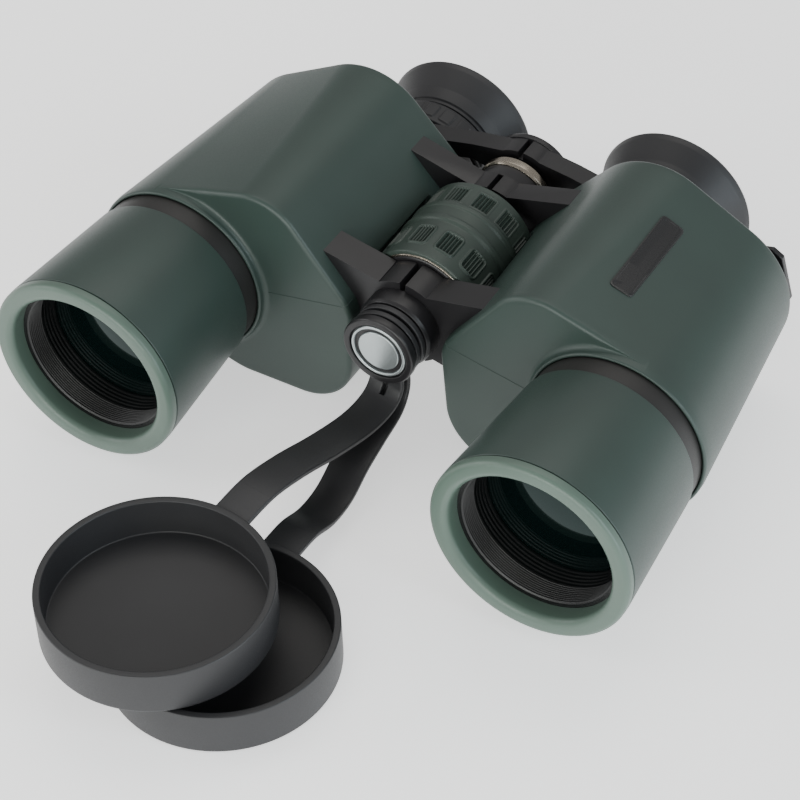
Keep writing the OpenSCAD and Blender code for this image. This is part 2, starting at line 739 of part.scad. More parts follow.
place() right() bridge_arm_right();  // right_bridge_arm
place() left() bridge_arm_left();  // left_bridge_arm
place() right() eye_tube(diopter_y + diopter_len);  // right_eye_tube
place() left() fixed_eye_tube();  // left_eye_tube
place() right() diopter_ring();
place() right() eye_barrel(eye_tube_y + 8);  // right_eye_barrel
place() right() eye_lens();  // right_eye_lens
place() left() eye_lens();  // left_eye_lens
place() right() eyecup();  // right_eyecup
place() left() eyecup();  // left_eyecup
place() right_cap();
place() left_cap();
place() right_strap();  // right_cap_strap
place() left_strap();  // left_cap_strap
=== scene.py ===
# Looks of the porro prism binoculars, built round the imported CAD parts.
# +X is the user's left, +Y runs from the objectives to the eyepieces and +Z is up.
# Sizes are in millimetres. Stations count along +Y from the front plane of the objective rims.
import json
import math

import bmesh
import bpy
import numpy as np
from mathutils import Matrix, Vector

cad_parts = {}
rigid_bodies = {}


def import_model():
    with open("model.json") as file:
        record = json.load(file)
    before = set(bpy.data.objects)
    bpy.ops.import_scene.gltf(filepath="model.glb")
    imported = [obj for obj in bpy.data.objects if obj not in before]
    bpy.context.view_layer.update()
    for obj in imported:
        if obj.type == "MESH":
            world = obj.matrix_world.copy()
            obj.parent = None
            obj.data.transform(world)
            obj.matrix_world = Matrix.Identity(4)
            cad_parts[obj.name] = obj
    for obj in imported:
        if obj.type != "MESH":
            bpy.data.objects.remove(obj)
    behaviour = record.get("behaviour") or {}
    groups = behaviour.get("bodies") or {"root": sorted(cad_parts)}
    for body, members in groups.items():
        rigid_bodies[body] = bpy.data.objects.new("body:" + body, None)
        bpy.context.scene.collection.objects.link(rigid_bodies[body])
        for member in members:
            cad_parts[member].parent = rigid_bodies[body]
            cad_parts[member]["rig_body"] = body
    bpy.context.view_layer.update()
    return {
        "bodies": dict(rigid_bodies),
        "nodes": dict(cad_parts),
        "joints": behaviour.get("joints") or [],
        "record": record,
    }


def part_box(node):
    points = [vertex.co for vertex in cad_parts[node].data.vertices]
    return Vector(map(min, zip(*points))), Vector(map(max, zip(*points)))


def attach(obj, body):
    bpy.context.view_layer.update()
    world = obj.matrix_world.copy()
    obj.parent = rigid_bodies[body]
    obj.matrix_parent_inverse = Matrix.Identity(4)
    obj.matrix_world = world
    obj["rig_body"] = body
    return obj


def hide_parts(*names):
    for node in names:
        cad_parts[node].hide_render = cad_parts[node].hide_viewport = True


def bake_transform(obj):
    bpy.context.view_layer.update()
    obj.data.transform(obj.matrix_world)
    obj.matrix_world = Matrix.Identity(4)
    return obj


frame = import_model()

mm = 0.001
nodes = frame["nodes"]
sides = {"right": -1, "left": 1}


def middle(node):  # centre of a CAD node's box
    low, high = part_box(node)
    return (low + high) / 2


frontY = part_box("left_rim")[0].y  # station 0
axisX, axisZ = middle("left_rim").x / mm, middle("left_rim").z / mm  # objective axis
eyeX, eyeZ = middle("left_eyecup").x / mm, middle("left_eyecup").z / mm  # eyepiece axis
hingeZ = middle("hinge_axle").z / mm


def station(y):  # a CAD coordinate along Y as a station
    return (y - frontY) / mm


print("frame loaded, objective axes at", round(axisX, 2), "mm")


# Finishes. Each has its colour as a shade seen on a neutral surface, 0 to 255.
def paint(shade):
    value = np.array(shade, float) / 255
    linear = np.where(value > 0.04045, ((value + 0.055) / 1.055) ** 2.4, value / 12.92)
    return (*linear.tolist(), 1.0)


def startFinish(name, shade, roughness, metallic=0.0, **sockets):
    material = bpy.data.materials.new(name)
    material.use_nodes = True
    shader = material.node_tree.nodes["Principled BSDF"]
    shader.inputs["Base Color"].default_value = paint(shade)
    shader.inputs["Roughness"].default_value = roughness
    shader.inputs["Metallic"].default_value = metallic
    for socket, value in sockets.items():
        shader.inputs[socket].default_value = value
    return material, material.node_tree, shader


def noiseNode(tree, coordinates, grain, detail=2.0):  # grain is the size of one speck in mm
    noise = tree.nodes.new("ShaderNodeTexNoise")
    noise.inputs["Scale"].default_value = 1 / (grain * mm)
    noise.inputs["Detail"].default_value = detail
    tree.links.new(coordinates, noise.inputs["Vector"])
    return noise.outputs["Fac"]


def rangeNode(tree, value, low, high):
    spread = tree.nodes.new("ShaderNodeMapRange")
    spread.inputs["From Min"].default_value = 0.3
    spread.inputs["From Max"].default_value = 0.7
    spread.inputs["To Min"].default_value = low
    spread.inputs["To Max"].default_value = high
    tree.links.new(value, spread.inputs["Value"])
    return spread.outputs["Result"]


# A moulded finish: fine grain in the bump, slow drift in colour and in roughness
def mouldedFinish(name, shade, drift, roughness, grain, depth, patch=14.0, **sockets):
    material, tree, shader = startFinish(name, shade, roughness, **sockets)
    place = tree.nodes.new("ShaderNodeTexCoord").outputs["Object"]
    slow = noiseNode(tree, place, patch, 3.0)
    fine = noiseNode(tree, place, grain, 1.0)
    colours = tree.nodes.new("ShaderNodeMix")
    colours.data_type = "RGBA"
    colours.inputs["A"].default_value = paint([c * (1 - drift) for c in shade])
    colours.inputs["B"].default_value = paint([min(255, c * (1 + drift)) for c in shade])
    tree.links.new(rangeNode(tree, slow, 0.0, 1.0), colours.inputs["Factor"])
    tree.links.new(colours.outputs["Result"], shader.inputs["Base Color"])
    tree.links.new(rangeNode(tree, fine, roughness - 0.05, roughness + 0.05), shader.inputs["Roughness"])
    bump = tree.nodes.new("ShaderNodeBump")
    bump.inputs["Strength"].default_value = 0.6
    bump.inputs["Distance"].default_value = depth * mm
    tree.links.new(fine, bump.inputs["Height"])
    tree.links.new(bump.outputs["Normal"], shader.inputs["Normal"])
    return material


# A turned or brushed metal: noise stretched along the lathe marks
def metalFinish(name, shade, roughness, stretch=(1, 1, 1), grain=0.6, depth=0.01, metallic=1.0, **sockets):
    material, tree, shader = startFinish(name, shade, roughness, metallic, **sockets)
    mapping = tree.nodes.new("ShaderNodeMapping")
    mapping.inputs["Scale"].default_value = stretch
    tree.links.new(tree.nodes.new("ShaderNodeTexCoord").outputs["Object"], mapping.inputs["Vector"])
    marks = noiseNode(tree, mapping.outputs["Vector"], grain, 2.0)
    tree.links.new(rangeNode(tree, marks, roughness - 0.06, roughness + 0.08), shader.inputs["Roughness"])
    bump = tree.nodes.new("ShaderNodeBump")
    bump.inputs["Strength"].default_value = 0.5
    bump.inputs["Distance"].default_value = depth * mm
    tree.links.new(marks, bump.inputs["Height"])
    tree.links.new(bump.outputs["Normal"], shader.inputs["Normal"])
    return material


# A coated lens: near-black glass whose reflections take the coating's tint, plus a painted sheen: the base colour turns
# towards a dim copy of that tint at grazing angles
def lensFinish(name, shade, coatTintAndPaintedSheen):
    material, tree, shader = startFinish(name, shade, 0.04, **{"IOR": 1.45, "Coat Weight": 0.15, "Coat Roughness": 0.02})
    shader.inputs["Specular Tint"].default_value = paint(coatTintAndPaintedSheen)
    # painted sheen: the base colour is mixed from the glass shade to the dimmed tint as the surface turns edge-on
    paintedSheenWeight = tree.nodes.new("ShaderNodeLayerWeight")
    paintedSheenWeight.inputs["Blend"].default_value = 0.35
    colours = tree.nodes.new("ShaderNodeMix")
    colours.data_type = "RGBA"
    colours.inputs["A"].default_value = paint(shade)
    colours.inputs["B"].default_value = paint([c * 0.16 for c in coatTintAndPaintedSheen])
    tree.links.new(paintedSheenWeight.outputs["Facing"], colours.inputs["Factor"])
    tree.links.new(colours.outputs["Result"], shader.inputs["Base Color"])
    return material


finishes = {
    "rim_rubber": mouldedFinish("rimRubber", (80, 98, 88), 0.02, 0.4, 0.35, 0.01),
    "barrel_rubber": mouldedFinish("barrelRubber", (46, 61, 56), 0.02, 0.44, 0.3, 0.012),
    "armour_rubber": mouldedFinish("armourRubber", (46, 61, 56), 0.02, 0.44, 0.3, 0.012),
    "black_plastic": mouldedFinish("blackPlastic", (34, 33, 32), 0.08, 0.5, 0.25, 0.03),
    "matt_black_metal": mouldedFinish("mattBlackMetal", (11, 12, 13), 0.06, 0.42, 0.4, 0.01),
    # the second shade of each glass is its coating's reflection tint, also used for its painted sheen at grazing angles
    "coated_glass": lensFinish("coatedGlass", (3, 6, 7), (60, 150, 140)),
    "prism_glass": lensFinish("prismGlass", (20, 30, 30), (190, 220, 215)),
    "plate_metal": metalFinish("plateMetal", (140, 142, 145), 0.5),
    "screw_steel": metalFinish("screwSteel", (150, 151, 153), 0.32, (1, 8, 1)),
    "bridge_black": mouldedFinish("bridgeBlack", (27, 26, 28), 0.04, 0.36, 0.2, 0.01),
    "badge_black": mouldedFinish("badgeBlack", (30, 30, 31), 0.03, 0.3, 0.25, 0.003),
    "emblem_silver": metalFinish("emblemSilver", (196, 204, 205), 0.33, (1, 1, 6), 0.5, 0.006, 0.9),
    "ring_gunmetal": metalFinish("ringGunmetal", (160, 152, 140), 0.24, (1, 12, 1), 0.4, 0.006),
    "wheel_metal": mouldedFinish("wheelMetal", (30, 29, 31), 0.05, 0.33, 0.25, 0.01),
    "wheel_rubber": mouldedFinish("wheelRubber", (50, 62, 56), 0.04, 0.42, 0.25, 0.015),
    "black_rubber": mouldedFinish("blackRubber", (38, 38, 40), 0.03, 0.5, 0.3, 0.015),
}
slotOf = {part["node"]: part["material_slot"] for part in frame["record"]["subparts"]}
for name, node in nodes.items():
    node.data.materials.clear()
    node.data.materials.append(finishes[slotOf[name]])
print("finishes made:", len(finishes))


# Corners (a, b, radius) of a closed outline, each rounded by an arc of its radius
def rounded(corners, steps=5):
    flat = np.array([c[:2] for c in corners], float)
    out = []
    for i, (a, b, radius) in enumerate(corners):
        corner = flat[i]
        back, ahead = flat[i - 1] - corner, flat[(i + 1) % len(flat)] - corner
        backLen, aheadLen = np.linalg.norm(back), np.linalg.norm(ahead)
        back, ahead = back / backLen, ahead / aheadLen
        half = np.arccos(np.clip(back @ ahead, -1, 1)) / 2
        if radius <= 0 or half > 1.56:
            out.append(corner[None])
            continue
        reach = min(radius / np.tan(half), 0.49 * backLen, 0.49 * aheadLen)
        centre = corner + (back + ahead) / np.linalg.norm(back + ahead) * reach / np.cos(half)
        first, last = corner + back * reach - centre, corner + ahead * reach - centre
        sweep = math.pi - 2 * half
        t = np.linspace(0, 1, steps + 1)[:, None]
        out.append(centre + (np.sin((1 - t) * sweep) * first + np.sin(t * sweep) * last) / np.sin(sweep))
    return np.concatenate(out)


# Quads between neighbouring points of a grid, closed round in either direction
def gridFaces(rows, columns, closedRows=True, closedColumns=True):
    r = np.arange(rows if closedRows else rows - 1)[:, None]
    c = np.arange(columns if closedColumns else columns - 1)[None, :]
    nextR, nextC = (r + 1) % rows, (c + 1) % columns
    quads = np.stack([r * columns + c, r * columns + nextC, nextR * columns + nextC, nextR * columns + c], -1)
    return quads.reshape(-1, 4)


# Grid points into a mesh whose doubled points are merged and whose faces are turned outwards
def makePiece(name, grids, slot, body, stands=(), sharp=35, finish=None, blendWith=None):
    mesh = bpy.data.meshes.new(name)
    points, faces, count = [], [], 0
    for grid, closedRows, closedColumns in grids:
        rows, columns = grid.shape[:2]
        points.append(grid.reshape(-1, 3))
        faces.append(gridFaces(rows, columns, closedRows, closedColumns) + count)
        count += rows * columns
    mesh.from_pydata(np.concatenate(points).tolist(), [], np.concatenate(faces).tolist())
    work = bmesh.new()
    work.from_mesh(mesh)
    bmesh.ops.remove_doubles(work, verts=work.verts, dist=1e-6)
    bmesh.ops.dissolve_degenerate(work, edges=work.edges, dist=1e-7)
    bmesh.ops.recalc_face_normals(work, faces=work.faces)
    work.to_mesh(mesh)
    work.free()
    return finishPiece(name, mesh, slot, body, stands, sharp, finish, blendWith)


def finishPiece(name, mesh, slot, body, stands, sharp, finish=None, blendWith=None):
    mesh.materials.clear()
    mesh.materials.append(finishes[finish or slot])
    mesh.polygons.foreach_set("use_smooth", np.ones(len(mesh.polygons), bool))
    mesh.set_sharp_from_angle(angle=math.radians(sharp))
    piece = bpy.data.objects.new(name, mesh)
    bpy.context.scene.collection.objects.link(piece)
    if blendWith:
        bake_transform(piece)
    else:
        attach(piece, body)
    if stands:
        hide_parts(*stands)
    return piece


# A profile of (radius, station) turned round an axis along Y at (x, z)
def turned(profile, x, z, count=180):
    angle = np.linspace(0, 2 * np.pi, count, endpoint=False)[None, :]
    r, s = profile[:, :1], profile[:, 1:2]
    return np.stack([x + r * np.cos(angle), s + 0 * angle, z + r * np.sin(angle)], -1) * mm + [0, frontY, 0]


def turnedPiece(name, corners, x, z, slot, body, stands=(), count=180, steps=5, **more):
    return makePiece(name, [(turned(rounded(corners, steps), x, z, count), True, True)], slot, body, stands, **more)


# A housing is a loft between two outlines, each the tight loop round five circles (x, z, radius)
housing = {
    "frontCircles": [(23.8, 1.5, 10.5), (30.5, -14.8, 16.2), (46.5, -12.5, 18.5), (64.7, 0.0, 25.0), (41.5, 17.0, 15.2)],
    "rearCircles": [(23.2, 2.0, 11.3), (30.5, -14.8, 16.2), (46.5, -12.5, 18.5), (59.2, -0.6, 23.3), (43.9, 11.4, 20.1)],
    "front": 48.0, "rear": 111.0, "lipFront": 45.5, "hole": 23.9, "lipR": 25.0, "lipRound": 0.7,
    "frontEdge": 1.3, "rearEdge": 1.3, "lipFillet": 1.5, "wall": 0.8, "rearFrame": 3.0, "spacing": 0.5,
    "pocket": (60.6, 95.1, 17.2), "noseClear": 13.3, "seam": ((40.7, 0.8), (14.0, 6.5)),
}


def linkAngles(circles):  # direction of the outward normal of each straight run between neighbours
    ahead = np.roll(circles, -1, axis=0)
    d = ahead[:, :2] - circles[:, :2]
    return np.arctan2(d[:, 1], d[:, 0]) - np.arccos((circles[:, 2] - ahead[:, 2]) / np.linalg.norm(d, axis=1))


# Points and normals round an outline. Both outlines get as many points on each arc and run as the front one needs.
def outlineLoop(circles):
    circles, model = np.array(circles), np.array(housing["frontCircles"])
    ends, modelEnds = linkAngles(circles), linkAngles(model)
    out = []
    for i, c in enumerate(circles):
        begin, sweep = ends[i - 1], (ends[i] - ends[i - 1]) % (2 * np.pi)
        modelSweep = (modelEnds[i] - modelEnds[i - 1]) % (2 * np.pi)
        angle = np.linspace(begin, begin + sweep, max(6, int(model[i, 2] * modelSweep / housing["spacing"])))
        normal = np.stack([np.cos(angle), np.sin(angle)], -1)
        out.append(np.concatenate([c[:2] + c[2] * normal, normal], -1))
        ahead, modelAhead = circles[(i + 1) % len(circles)], model[(i + 1) % len(model)]
        head = np.concatenate([ahead[:2] + ahead[2] * normal[-1], normal[-1]])
        span = np.linalg.norm(modelAhead[:2] - model[i, :2])
        n = max(3, int(span / housing["spacing"]))
        out.append(out[-1][-1] + (head - out[-1][-1]) * np.linspace(0, 1, n)[1:-1, None])
    return np.concatenate(out)


outlines = outlineLoop(housing["frontCircles"]), outlineLoop(housing["rearCircles"])


def section(y):  # points and normals of the housing's outline at a station
    t = np.clip((y - housing["front"]) / (housing["rear"] - housing["front"]), 0, 1)
    mix = outlines[0] * (1 - t) + outlines[1] * t
    return mix[:, :2], mix[:, 2:] / np.linalg.norm(mix[:, 2:], axis=1)[:, None]


def smooth(t):  # 0 to 1 with flat ends
    t = np.clip(t, 0, 1)
    return t * t * (3 - 2 * t)


# The wheel's pocket: points nearer the hinge axis than the pocket's radius move straight out to it
def clearWheel(x, y, z, extra):
    first, last, radius = housing["pocket"]
    depth = smooth((y - first) / 1.6) * smooth((last - y) / 1.6)
    least = housing["noseClear"] + (radius - housing["noseClear"]) * depth + extra
    dz = z + axisZ - hingeZ
    away = np.hypot(x, dz)
    push = np.maximum(least / np.maximum(away, 1e-6), 1.0)
    return x * push, dz * push + hingeZ - axisZ


# The armour is a skin of rows round the loop. Rows run from the hole for the barrel, over the lip and across
# the front face to its edge, back along the sides, round the rear edge, and home again inside.
def armourSkin():
    loop, normal = section(housing["front"])
    centre = np.array([axisX, 0.0])
    out = loop - centre
    spread = np.linalg.norm(out, axis=1)[:, None]
    spoke = out / spread
    width = spread - housing["lipR"]
    front, lipFront, lipR = housing["front"], housing["lipFront"], housing["lipR"]
    rear, rearEdge, wall = housing["rear"], housing["rearEdge"], housing["wall"]
    hole, bead = housing["hole"], housing["lipRound"]
    fillet = np.minimum(housing["lipFillet"], 0.3 * width)
    edge = np.minimum(housing["frontEdge"], 0.35 * width)
    rows, insets = [], []

    def put(flat, y, inset=0.0):
        rows.append(np.concatenate([flat[:, :1], np.broadcast_to(y, (len(flat), 1)), flat[:, 1:2]], -1))
        insets.append(inset)

    def putSection(y, inset, at=None):  # a row inside the outline of its own station
        points, outward = section(y if at is None else at)
        put(points - inset * outward, y, inset)

    one = np.ones((len(loop), 1))
    put(centre + hole * spoke, front + wall)
    for t in np.linspace(0, 1, 9):  # rounded front of the lip
        a = math.pi * t
        mid = (hole + lipR) / 2
        put(centre + (mid - (lipR - hole) / 2 * math.cos(a)) * spoke, lipFront + bead - bead * math.sin(a))
    for t in np.linspace(0, 1, 7):  # fillet from the lip onto the front face
        a = math.pi / 2 * t
        put(centre + (lipR + fillet * (1 - math.cos(a))) * spoke, front * one - fillet * (1 - math.sin(a)))
    for t in np.linspace(0, 1, 14)[1:-1]:  # front face
        start = centre + (lipR + fillet) * spoke
        put(start + (loop - edge * normal - start) * t, front)
    for t in np.linspace(0, 1, 8):  # front edge
        a = math.pi / 2 * t
        put(loop - edge * (1 - math.sin(a)) * normal, front + edge * (1 - math.cos(a)))
    first, last, _ = housing["pocket"]
    sideRows = np.concatenate([np.linspace(front + 2.4, first, 10), np.linspace(first + 0.3, first + 1.8, 6),
                               np.linspace(first + 3.5, last - 3.5, 12), np.linspace(last - 1.8, last - 0.3, 6),
                               np.linspace(last + 0.6, rear - rearEdge, 9)])
    for y in sideRows:
        putSection(y, 0.0)
    for t in np.linspace(0, 1, 7)[1:]:  # rear edge
        a = math.pi / 2 * t
        putSection(rear - rearEdge * (1 - math.sin(a)), rearEdge * (1 - math.cos(a)))
    putSection(rear, housing["rearFrame"])
    putSection(rear - 1.1, housing["rearFrame"])
    for y in (rear - 1.15, 104.0, last + 1.0, last - 2.0, first + 2.0, first - 1.0, front + wall):
        putSection(y, wall)
    skin = np.array(rows)
    x, z = clearWheel(skin[:, :, 0], skin[:, :, 1], skin[:, :, 2], np.array(insets)[:, None])
    return np.stack([x, skin[:, :, 1], z + axisZ], -1)


def sided(grid, sign):  # a grid in mm with stations, mirrored to its side and put in the row's frame
    return grid * [sign * mm, mm, mm] + [0, frontY, 0]


skin = armourSkin()
for side, sign in sides.items():
    makePiece(side + "ArmourSkin", [(sided(skin, sign), True, True)], "armour_rubber", side + "_half",
              [side + "_armour"], sharp=50)
print("armour made")


# Housing shell: the same loft under the armour, open at the rear
shell = {"front": 49.2, "rear": 109.8, "out": 1.25, "in": 2.95, "rows": 40}


def shellGrid():
    y = np.linspace(shell["front"], shell["rear"], shell["rows"])
    rows = []
    for inset, stations in ((shell["out"], y), (shell["in"], y[::-1])):
        for at in stations:
            points, outward = section(at)
            flat = points - inset * outward
            x, z = clearWheel(flat[:, 0], at, flat[:, 1], inset)
            rows.append(np.stack([x, np.full_like(x, at), z + axisZ], -1))
    return np.array(rows)


shellRows = shellGrid()
for side, sign in sides.items():
    makePiece(side + "HousingShell", [(sided(shellRows, sign), True, True)], "black_plastic", side + "_half",
              [side + "_housing"], sharp=50)
print("housings made")

# The parting line of the mould: a fine bead across the front face, from the lip to the nose and back along it
seamBead = {"width": 0.34, "height": 0.12, "steps": 60, "around": 8}


def seamGrid():
    (x0, z0), (x1, z1) = housing["seam"]
    loop, normal = section(housing["front"])
    slope = np.array([x1 - x0, z1 - z0]) / np.hypot(x1 - x0, z1 - z0)
    gap = np.abs((loop[:, 0] - x0) * slope[1] - (loop[:, 1] - z0) * slope[0]) + 1e3 * (loop[:, 0] > x0)
    hit = int(np.argmin(gap))
    edge, out = loop[hit], normal[hit]
    inner = edge - housing["frontEdge"] * out
    start = np.array([x0, z0])
    t = np.linspace(0, 1, seamBead["steps"])[:, None]
    face = np.concatenate([start + (inner - start) * t, 0 * t + housing["front"]], -1)
    a = np.linspace(0, math.pi / 2, 8)[1:, None]
    bend = np.concatenate([inner + housing["frontEdge"] * np.sin(a) * out,
                           housing["front"] + housing["frontEdge"] * (1 - np.cos(a))], -1)
    back = np.array([[*section(y)[0][hit], y] for y in np.linspace(50, housing["pocket"][0] - 0.4, 12)])
    path = np.concatenate([face, bend, back])[:, [0, 2, 1]]
    lift = np.concatenate([np.repeat([[0.0, -1.0, 0.0]], len(face), 0),
                           np.concatenate([np.sin(a) * out[0], -np.cos(a), np.sin(a) * out[1]], -1),
                           np.repeat([[out[0], 0.0, out[1]]], len(back), 0)])
    along = np.gradient(path, axis=0)
    across = np.cross(lift, along / np.linalg.norm(along, axis=1)[:, None])
    turn = np.linspace(0, 2 * math.pi, seamBead["around"], endpoint=False)
    grid = path[:, None] + across[:, None] * (seamBead["width"] / 2 * np.cos(turn))[None, :, None] \
        + lift[:, None] * (seamBead["height"] * np.sin(turn))[None, :, None]
    ends = [np.repeat(path[k][None, None], seamBead["around"], 1) for k in (0, -1)]
    return np.concatenate([ends[0], grid, ends[1]]) + [0, 0, axisZ]


seam = seamGrid()
for side, sign in sides.items():
    makePiece(side + "SeamBead", [(sided(seam, sign), False, True)], "armour_rubber", side + "_half")

# Rear cover: a plate inside the armour's rear frame with the collar that guides the eyepiece tube
rearCover = {"face": station(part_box("left_rear_cover")[1].y) - 3.8, "collarEnd": station(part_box("left_rear_cover")[1].y),
             "boreR": 15.1, "collarR": 16.9, "fillet": 0.9, "thick": 1.8}


def coverGrid():
    c = rearCover
    loop, normal = section(housing["rear"])
    outer = loop - (housing["rearFrame"] - 0.02) * normal
    centre = np.array([eyeX, eyeZ - axisZ])
    spoke = (outer - centre) / np.linalg.norm(outer - centre, axis=1)[:, None]
    rings = [(c["boreR"], c["face"] - c["thick"]), (c["boreR"], c["collarEnd"] - 0.3), (c["boreR"] + 0.3, c["collarEnd"]),
             (c["collarR"] - 0.4, c["collarEnd"]), (c["collarR"], c["collarEnd"] - 0.4)]
    a = np.linspace(0, math.pi / 2, 6)
    rings += list(zip(c["collarR"] + c["fillet"] * (1 - np.cos(a)), c["face"] + c["fillet"] * (1 - np.sin(a))))
    grid = [np.insert(centre + r * spoke, 1, y, axis=1) for r, y in rings]
    grid += [np.insert(outer, 1, y, axis=1) for y in (c["face"], c["face"] - c["thick"])]
    return np.array(grid) + [0, 0, axisZ]


cover = coverGrid()
for side, sign in sides.items():
    makePiece(side + "RearCover", [(sided(cover, sign), True, True)], "black_plastic", side + "_half",
              [side + "_rear_cover"])

# Objective end of each side: rim, barrel, band, inner liner with its light-trap ridges, lens ring and lens
barrel = {"rimR": 27.25, "mouthR": 22.1, "rimLen": 2.9, "lip": 2.3, "seat": 5.5, "coreR": 23.0, "start": 3.1,
          "rearR": 24.6, "rearY": 39.8, "bandR": 23.85, "bandEnd": 45.9}
liner = {"outR": 21.4, "lensR": 20.1, "start": 5.6, "end": 11.4, "ringEnd": 16.6, "ridges": 9, "depth": 0.5}


def linerProfile():
    n = liner["ridges"] * 8
    y = np.linspace(liner["start"], liner["end"], n + 1)
    wave = 0.5 - 0.5 * np.cos(np.linspace(0, 1, n + 1) * liner["ridges"] * 2 * np.pi)
    ridge = np.stack([liner["outR"] - 0.3 - liner["depth"] * wave, y], -1)
    t = np.linspace(0, 1, 41)[1:, None]
    cone = np.concatenate([liner["outR"] - 0.3 + (liner["lensR"] + 0.3 - liner["outR"]) * t
                           - 0.12 * (0.5 - 0.5 * np.cos(t * 10 * np.pi)),
                           liner["end"] + (liner["ringEnd"] - liner["end"]) * t], -1)
    wall = np.array([[liner["outR"] - 0.02, liner["ringEnd"]], [liner["outR"] - 0.02, liner["start"]]])
    return np.concatenate([ridge, cone, wall])


# A lens: two arcs of the given rises, joined at its edge
def lensProfile(r, y0, y1, frontRise, rearRise):
    t = np.linspace(0, 1, 16)
    bow = 1 - t * t
    front = np.stack([r * t, y0 - frontRise * bow], -1)
    rear = np.stack([r * t, y1 + rearRise * bow], -1)[::-1]
    return np.concatenate([front, rear])


for side, sign in sides.items():
    x, body = sign * axisX, side + "_half"
    b = barrel
    turnedPiece(side + "RimRubber", [(b["mouthR"], b["seat"], 0.1), (b["mouthR"], 0, b["lip"] * 0.9),
                (b["rimR"] - 0.05, 0, b["lip"] * 1.15), (b["rimR"], b["rimLen"], 0.35), (b["coreR"], b["rimLen"], 0),
                (b["coreR"], b["seat"], 0)], x, axisZ, "rim_rubber", body, [side + "_rim"], 240, 8)
    turnedPiece(side + "BarrelRubber", [(b["coreR"] + 0.02, b["start"], 0), (b["rimR"], b["start"], 0.3),
                (b["rearR"], b["rearY"], 0.35), (b["coreR"] + 0.02, b["rearY"], 0)], x, axisZ, "barrel_rubber", body,
                [side + "_barrel"], 240)
    turnedPiece(side + "BlackBand", [(b["coreR"] + 0.02, b["rearY"] - 0.4, 0), (b["bandR"], b["rearY"] - 0.4, 0.1),
                (b["bandR"], b["bandEnd"], 0.1), (b["coreR"] + 0.02, b["bandEnd"], 0)], x, axisZ, "black_plastic",
                body, [side + "_band"], 240)
    makePiece(side + "RidgedLiner", [(turned(linerProfile(), x, axisZ, 160), True, True)], "matt_black_metal", body,
              [side + "_liner", side + "_lens_ring"])
    y0 = station(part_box(side + "_tube")[0].y) + 11.5
    makePiece(side + "ObjectiveLens", [(turned(lensProfile(21.3, y0, y0 + 5, 2.4, 1.6), x, axisZ, 120), False, True)],
              "coated_glass", body, [side + "_objective"])
print("barrels made")


# Hinge: collar, front disc with its bright ring and disc, rear sleeve and gunmetal ring
def hingePiece(name, corners, slot, body, stands=(), **more):
    return turnedPiece(name, corners, 0, hingeZ, slot, body, stands, **more)


collar = {"front": station(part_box("hinge_collar")[0].y), "rear": station(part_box("hinge_collar")[1].y),
          "seatR": 8.65, "barrelR": 10.6, "barrelY": station(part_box("left_cap_strap")[1].y) + 0.1}
hingePiece("collarBarrel", [(5.05, collar["front"], 0), (collar["seatR"], collar["front"], 0.1),
           (collar["seatR"], collar["barrelY"], 0.2), (collar["barrelR"] - 0.5, collar["barrelY"], 0.2),
           (collar["barrelR"], collar["barrelY"] + 0.9, 0.3), (collar["barrelR"], collar["rear"], 0.1),
           (5.05, collar["rear"], 0)], "bridge_black", "right_half", ["hinge_collar"])
disc = {"front": station(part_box("front_cap")[0].y), "rear": station(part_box("front_cap")[1].y), "r": 10.3,
        "ring": (7.9, 7.05), "discR": 5.9, "seatR": 8.25, "seat": 0.8}
hingePiece("frontDisc", [(0, disc["front"] + disc["seat"], 0), (disc["seatR"], disc["front"] + disc["seat"], 0.2),
           (disc["seatR"] + 0.15, disc["front"], 0.2), (disc["r"], disc["front"], 0.6),
           (disc["r"], disc["rear"], 0.3), (0, disc["rear"], 0)], "bridge_black", "right_half", ["front_cap"])
ringOut, ringIn = disc["ring"]
hingePiece("brightRing", [(ringIn, disc["front"] + 0.9, 0), (ringIn, disc["front"] + 0.1, 0.3),
           (ringOut, disc["front"] + 0.1, 0.3), (ringOut, disc["front"] + 0.9, 0)], "emblem_silver", "right_half",
           ["emblem"])
hingePiece("brightDisc", [(0, disc["front"] + 0.9, 0), (0, disc["front"] + 0.12, 0),
           (disc["discR"], disc["front"] + 0.3, 0.25), (disc["discR"], disc["front"] + 0.9, 0)], "emblem_silver",
           "right_half")
sleeve = {"front": station(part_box("rear_sleeve")[0].y), "rear": station(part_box("rear_sleeve")[1].y),
          "frontR": 11.0, "rearR": 10.2}
hingePiece("rearBarrel", [(5.05, sleeve["front"], 0), (sleeve["frontR"], sleeve["front"], 0.25),
           (sleeve["rearR"], sleeve["rear"], 0.25), (5.05, sleeve["rear"], 0)], "bridge_black", "right_half",
           ["rear_sleeve"])
gunmetal = {"front": station(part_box("sleeve_ring")[0].y), "rear": station(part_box("sleeve_ring")[1].y), "r": 10.8}
hingePiece("gunmetalRing", [(3.4, gunmetal["front"] + 0.1, 0), (gunmetal["r"] - 0.5, gunmetal["front"] + 0.1, 0.2),
           (gunmetal["r"], gunmetal["front"] + 0.8, 0.3), (gunmetal["r"], gunmetal["rear"] - 0.5, 0.4),
           (gunmetal["r"] - 0.7, gunmetal["rear"], 0.2), (3.4, gunmetal["rear"], 0)], "ring_gunmetal", "right_half",
           ["sleeve_ring"])
endCap = {"front": station(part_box("bridge_end_cap")[0].y), "rear": station(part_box("bridge_end_cap")[1].y), "r": 11.8}
hingePiece("bridgeCap", [(0, endCap["front"], 0), (endCap["r"], endCap["front"], 0.3), (endCap["r"], endCap["front"]
           + 1.6, 0.5), (endCap["r"] - 1.6, endCap["rear"] - 0.3, 0.8), (endCap["r"] - 3.2, endCap["rear"] - 0.3, 0.3),
           (endCap["r"] - 3.5, endCap["rear"], 0.3), (0, endCap["rear"], 0)], "bridge_black", "right_bridge",
           ["bridge_end_cap"])

